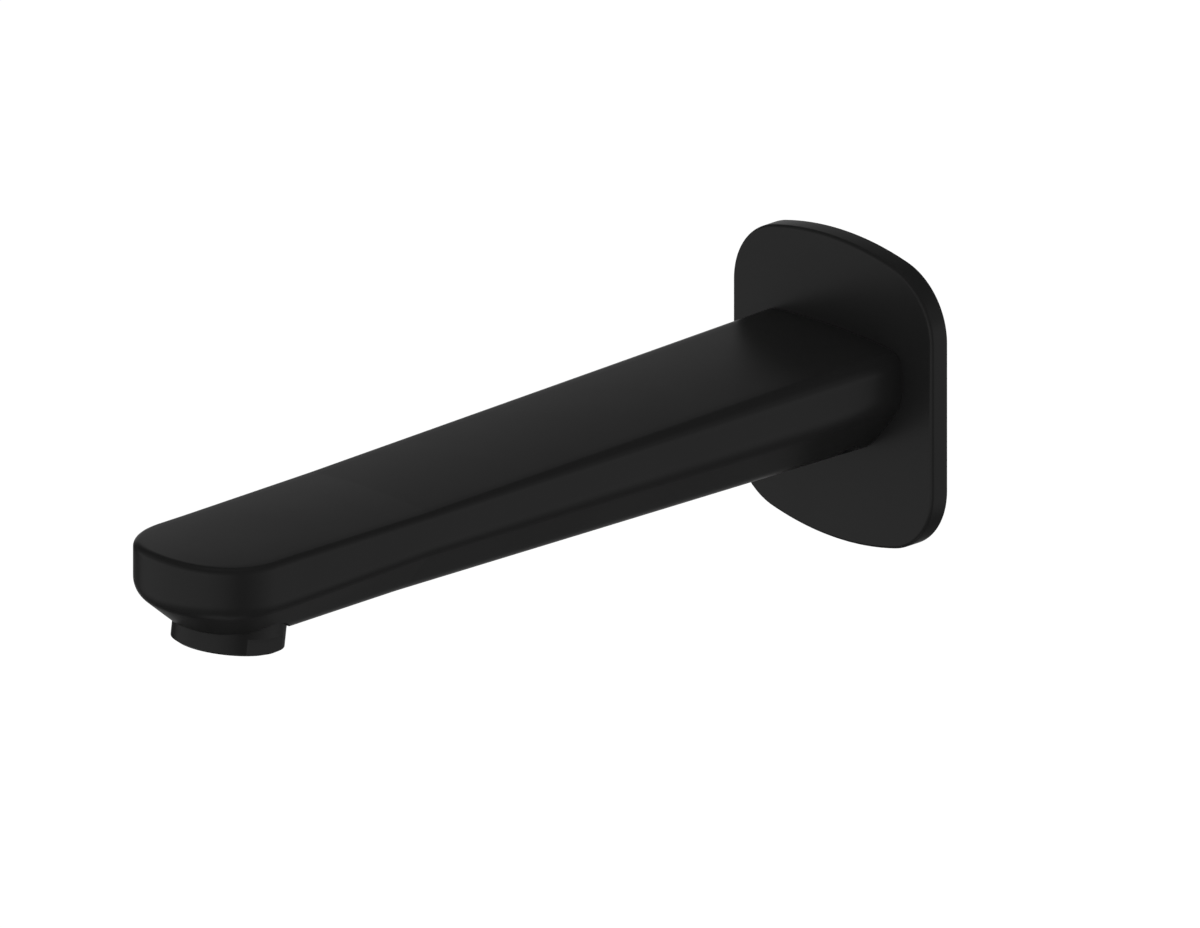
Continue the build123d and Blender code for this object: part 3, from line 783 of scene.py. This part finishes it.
hex_back, hex_front = hex_rings(HEX_BACK, -1), hex_rings(HEX_FRONT, 1)
threaded = [(NIPPLE_BORE, THREAD_TO - MOUTH_BREAK), (NIPPLE_BORE + MOUTH_BREAK, THREAD_TO),
            (THREAD_ROOT - THREAD_BREAK, THREAD_TO), (THREAD_ROOT, THREAD_TO - THREAD_BREAK),
            (THREAD_ROOT, THREAD_FROM), (NECK_R, HEX_BACK)]
spigot = [(SPIGOT_R, HEX_FRONT)]
for floor_r, near, far in SPIGOT_CUTS:
    spigot += [(SPIGOT_R, near), (floor_r, near), (floor_r, far), (SPIGOT_R, far)]
spigot += [(SPIGOT_R, SPIGOT_END + SPIGOT_BREAK), (SPIGOT_R - SPIGOT_BREAK, SPIGOT_END), (NIPPLE_BORE, SPIGOT_END)]
nipple = ring_piece("inlet_nipple_turned", [
    *(inlet_ring(r, y) for r, y in threaded), *hex_back, *reversed(hex_front),
    *(inlet_ring(r, y) for r, y in spigot)])
print("nipple core:", len(nipple.data.polygons), "faces")

# %% Thread
STEPS_PER_TURN = 72
# The ridge reaches its full height after one part in this many of its length, at both ends.
RUN_OUT_PARTS = 12.0
# The trapezoid's foot and tip, as shares of the pitch.
TOOTH_FOOT, TOOTH_TIP = 0.92, 0.2
thread = bpy.data.node_groups.new("pipe_thread", "GeometryNodeTree")
thread.interface.new_socket("Geometry", in_out="INPUT", socket_type="NodeSocketGeometry")
THREAD_SIZES = {"Foot Radius": (THREAD_ROOT - FOOT_SUNK) * MM, "Depth": (THREAD_DEPTH + FOOT_SUNK) * MM,
                "Pitch": THREAD_PITCH * MM,
                "Turns": (THREAD_TO - THREAD_FROM - THREAD_PITCH) / THREAD_PITCH,
                "Start": (THREAD_FROM + THREAD_PITCH / 2) * MM}
sockets = {name: thread.interface.new_socket(name, in_out="INPUT", socket_type="NodeSocketFloat")
           for name in THREAD_SIZES}
thread.interface.new_socket("Geometry", in_out="OUTPUT", socket_type="NodeSocketGeometry")
given = add_node(thread, "NodeGroupInput").outputs
length = add_node(thread, "ShaderNodeMath", {"operation": "MULTIPLY"}, {0: given["Pitch"], 1: given["Turns"]})
spiral = add_node(thread, "GeometryNodeCurveSpiral", {}, {
    "Resolution": STEPS_PER_TURN, "Rotations": given["Turns"], "Start Radius": given["Foot Radius"],
    "End Radius": given["Foot Radius"], "Height": length.outputs[0], "Reverse": True})
steady = add_node(thread, "GeometryNodeSetCurveNormal", {"mode": "Z_UP"}, {"Curve": spiral.outputs[0]})
share = add_node(thread, "GeometryNodeSplineParameter").outputs["Factor"]
rest = add_node(thread, "ShaderNodeMath", {"operation": "SUBTRACT"}, {0: 1.0, 1: share})
nearest = add_node(thread, "ShaderNodeMath", {"operation": "MINIMUM"}, {0: share, 1: rest.outputs[0]})
fade = add_node(thread, "ShaderNodeMath", {"operation": "MULTIPLY", "use_clamp": True},
                {0: nearest.outputs[0], 1: RUN_OUT_PARTS})
faded = add_node(thread, "GeometryNodeSetCurveRadius", {}, {"Curve": steady.outputs[0], "Radius": fade.outputs[0]})
wide = add_node(thread, "ShaderNodeMath", {"operation": "MULTIPLY"}, {0: given["Pitch"], 1: TOOTH_FOOT})
narrow = add_node(thread, "ShaderNodeMath", {"operation": "MULTIPLY"}, {0: given["Pitch"], 1: TOOTH_TIP})
tooth = add_node(thread, "GeometryNodeCurvePrimitiveQuadrilateral", {"mode": "TRAPEZOID"}, {
    "Height": given["Depth"], "Bottom Width": wide.outputs[0], "Top Width": narrow.outputs[0], "Offset": 0.0})
half_depth = add_node(thread, "ShaderNodeMath", {"operation": "MULTIPLY"}, {0: given["Depth"], 1: 0.5})
lift = add_node(thread, "ShaderNodeCombineXYZ", {}, {"Y": half_depth.outputs[0]})
seated = add_node(thread, "GeometryNodeTransform", {}, {
    "Geometry": tooth.outputs[0], "Translation": lift.outputs[0]})
turned = add_node(thread, "GeometryNodeTransform", {}, {
    "Geometry": seated.outputs[0], "Rotation": (0, 0, -pi / 2)})
ridge = add_node(thread, "GeometryNodeCurveToMesh", {}, {
    "Curve": faded.outputs[0], "Profile Curve": turned.outputs[0], "Fill Caps": True})
start = add_node(thread, "ShaderNodeCombineXYZ", {}, {"Y": given["Start"]})
laid = add_node(thread, "GeometryNodeTransform", {}, {
    "Geometry": ridge.outputs[0], "Translation": start.outputs[0], "Rotation": (-pi / 2, 0, 0)})
joined = add_node(thread, "GeometryNodeMeshBoolean", {"operation": "UNION", "solver": "EXACT"},
                  {"Mesh 2": given["Geometry"]})
thread.links.new(laid.outputs[0], joined.inputs["Mesh 2"])
whole = add_node(thread, "GeometryNodeRealizeInstances", {}, {"Geometry": joined.outputs[0]})
brass = add_node(thread, "GeometryNodeSetMaterial", {}, {
    "Geometry": whole.outputs[0], "Material": turned_brass})
add_node(thread, "NodeGroupOutput", {}, {"Geometry": brass.outputs[0]})
winder = nipple.modifiers.new("pipe_thread", "NODES")
winder.node_group = thread
for name, value in THREAD_SIZES.items():
    winder[sockets[name].identifier] = value
bake(nipple)
smooth(nipple)
dress(nipple, "bare_brass", "inlet_nipple")
print("nipple with thread:", len(nipple.data.polygons), "faces")

# %% [markdown]
# ## The solids that stay
#
# The sealing rings, the plate's seal, the grub screw and the aerator's inner pieces are right as the CAD model has
# them. Each takes the finish of the slot that the record gives it. A solid that a mesh above stands for is hidden,
# and gets its finish all the same.

# %% Finishes on the solids
for entry in frame["record"]["subparts"]:
    node = frame["nodes"][entry["node"]]
    node.data.materials.clear()
    node.data.materials.append(SLOT_FINISH[entry["material_slot"]])
print("solids dressed:", len(frame["nodes"]))

# %% [markdown]
# ## Last: the scene brought up to date
#
# The view layer is updated once more.

# %% Finish
bpy.context.view_layer.update()
